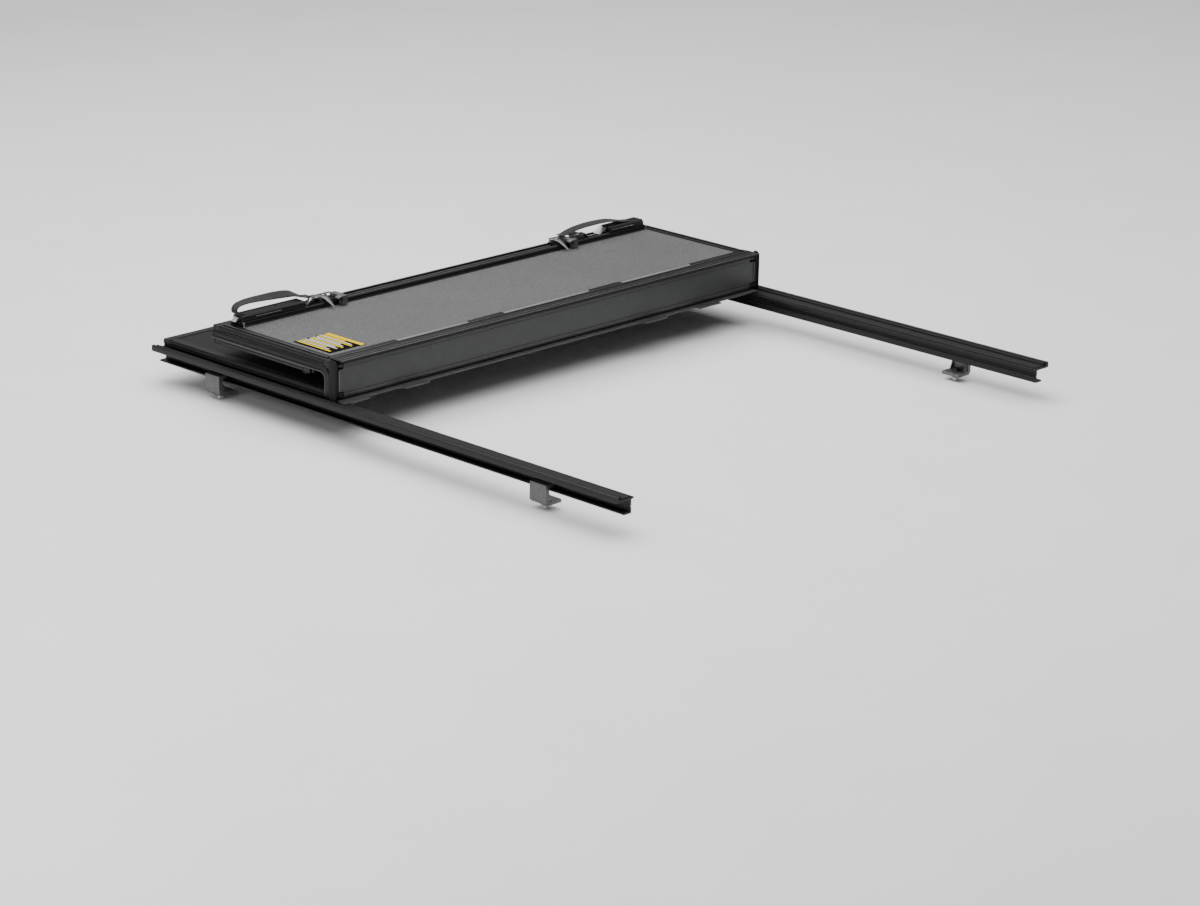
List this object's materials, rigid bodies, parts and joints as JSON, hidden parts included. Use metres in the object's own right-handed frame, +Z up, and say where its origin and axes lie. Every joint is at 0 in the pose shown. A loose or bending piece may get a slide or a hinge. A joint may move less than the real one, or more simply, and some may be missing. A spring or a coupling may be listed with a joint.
{
  "type": "tonneau cover",
  "caption": "Folding hard cover for a pickup bed, stowed as a stack at the cab end of its two clamp-on side rails, with spring latches, pull straps and rubber seals.",
  "frame": {"origin": "on the ground plane under the middle of the two rails, at the level of the lowest clamp screws", "axes": "+X is the vehicle's right side, +Y points to the cab along the rails, +Z is up"},
  "size_m": [1.459, 1.53, 0.2366],
  "materials": {
    "black_aluminium": "fine-textured black powder coat over extruded aluminium",
    "panel_skin": "finely pebbled mid-grey skin on a foam-cored sandwich panel",
    "fold_panel_coat": "satin dark-grey powder coat",
    "rubber": "black extruded EPDM with a soft sheen",
    "black_plastic": "moulded black nylon",
    "zinc_steel": "bright zinc-plated steel",
    "cast_grey": "dark grey die-cast metal with worn edges",
    "webbing": "flat woven black webbing",
    "label_film": "printed film with plain colour bars"
  },
  "bodies": {
    "root": {"rail_left": "black_aluminium", "rail_right": "black_aluminium", "rail_seal_left": "rubber", "rail_seal_right": "rubber", "rail_clamp_rear_left": "cast_grey", "rail_clamp_rear_right": "cast_grey", "rail_clamp_front_left": "cast_grey", "rail_clamp_front_right": "cast_grey", "clamp_bolt_rear_left": "zinc_steel", "clamp_bolt_rear_right": "zinc_steel", "clamp_bolt_front_left": "zinc_steel", "clamp_bolt_front_right": "zinc_steel", "front_panel_core": "panel_skin", "front_header": "black_aluminium", "front_frame_left": "black_aluminium", "front_frame_right": "black_aluminium", "front_hinge_extrusion": "black_aluminium", "bulkhead_seal": "rubber", "lower_hinge_pin": "zinc_steel"},
    "fold_panel": {"fold_panel": "fold_panel_coat", "fold_end_cap_left": "black_plastic", "fold_end_cap_right": "black_plastic", "fold_end_seal_left": "rubber", "fold_end_seal_right": "rubber", "upper_hinge_pin": "zinc_steel"},
    "middle_panel": {"middle_panel_core": "panel_skin", "middle_hinge_extrusion": "black_aluminium", "middle_frame_left": "black_aluminium", "middle_frame_right": "black_aluminium", "middle_seal_left": "rubber", "middle_seal_right": "rubber", "middle_header": "black_aluminium", "middle_latch_bar": "black_aluminium", "care_label": "label_film", "latch_housing_left": "black_plastic", "latch_housing_right": "black_plastic", "strap_bracket_left": "cast_grey", "strap_bracket_right": "cast_grey", "pull_strap_left": "webbing", "pull_strap_right": "webbing", "tail_hinge_pin": "zinc_steel"},
    "tail_panel": {"tail_panel_core": "panel_skin", "tail_hinge_header": "black_aluminium", "tail_frame_left": "black_aluminium", "tail_frame_right": "black_aluminium", "tail_end_header": "black_aluminium", "tail_seal": "rubber", "tail_latch_bar": "black_aluminium"},
    "latch_bolt_left": {"latch_bolt_left": "zinc_steel"},
    "latch_bolt_right": {"latch_bolt_right": "zinc_steel"},
    "release_flap_left": {"release_flap_left": "cast_grey"},
    "release_flap_right": {"release_flap_right": "cast_grey"},
    "tail_bolt_left": {"tail_bolt_left": "zinc_steel"},
    "tail_bolt_right": {"tail_bolt_right": "zinc_steel"},
    "tail_release_paddle": {"tail_release_paddle": "black_plastic"}
  },
  "joints": [
    {"name": "fold_lower", "type": "hinge", "parent": "root", "child": "fold_panel", "pos_m": [0, 0.1485, 0.0985], "axis": [1, 0, 0], "range_deg": [0, 90]},
    {"name": "fold_upper", "type": "hinge", "parent": "fold_panel", "child": "middle_panel", "pos_m": [0, 0.1485, 0.1715], "axis": [1, 0, 0], "range_deg": [0, 90]},
    {"name": "tail_fold", "type": "hinge", "parent": "middle_panel", "child": "tail_panel", "pos_m": [0, 0.5645, 0.159], "axis": [1, 0, 0], "range_deg": [0, 1.5]},
    {"name": "latch_bolt_left_slide", "type": "slide", "parent": "middle_panel", "child": "latch_bolt_left", "axis": [1, 0, 0], "range_m": [0, 0.012], "stiffness_N_per_m": 150},
    {"name": "release_flap_left_hinge", "type": "hinge", "parent": "middle_panel", "child": "release_flap_left", "pos_m": [-0.41, 0.5245, 0.2], "axis": [-1, 0, 0], "range_deg": [0, 40]},
    {"name": "latch_bolt_right_slide", "type": "slide", "parent": "middle_panel", "child": "latch_bolt_right", "axis": [-1, 0, 0], "range_m": [0, 0.012], "stiffness_N_per_m": 150},
    {"name": "release_flap_right_hinge", "type": "hinge", "parent": "middle_panel", "child": "release_flap_right", "pos_m": [0.37, 0.5245, 0.2], "axis": [-1, 0, 0], "range_deg": [0, 40]},
    {"name": "tail_bolt_left_slide", "type": "slide", "parent": "tail_panel", "child": "tail_bolt_left", "axis": [1, 0, 0], "range_m": [0, 0.012], "stiffness_N_per_m": 150},
    {"name": "tail_bolt_right_slide", "type": "slide", "parent": "tail_panel", "child": "tail_bolt_right", "axis": [-1, 0, 0], "range_m": [0, 0.012], "stiffness_N_per_m": 150},
    {"name": "tail_paddle_hinge", "type": "hinge", "parent": "tail_panel", "child": "tail_release_paddle", "pos_m": [0, 0.275, 0.122], "axis": [1, 0, 0], "range_deg": [0, 16]}
  ],
  "couplings": [
    {"joint": "fold_upper", "follows": "fold_lower", "ratio": 1},
    {"joint": "release_flap_left_hinge", "follows": "latch_bolt_left_slide", "rad_per_m": 58.172},
    {"joint": "release_flap_right_hinge", "follows": "latch_bolt_right_slide", "rad_per_m": 58.172},
    {"joint": "tail_bolt_right_slide", "follows": "tail_bolt_left_slide", "ratio": 1},
    {"joint": "tail_paddle_hinge", "follows": "tail_bolt_left_slide", "rad_per_m": 23.269}
  ]
}
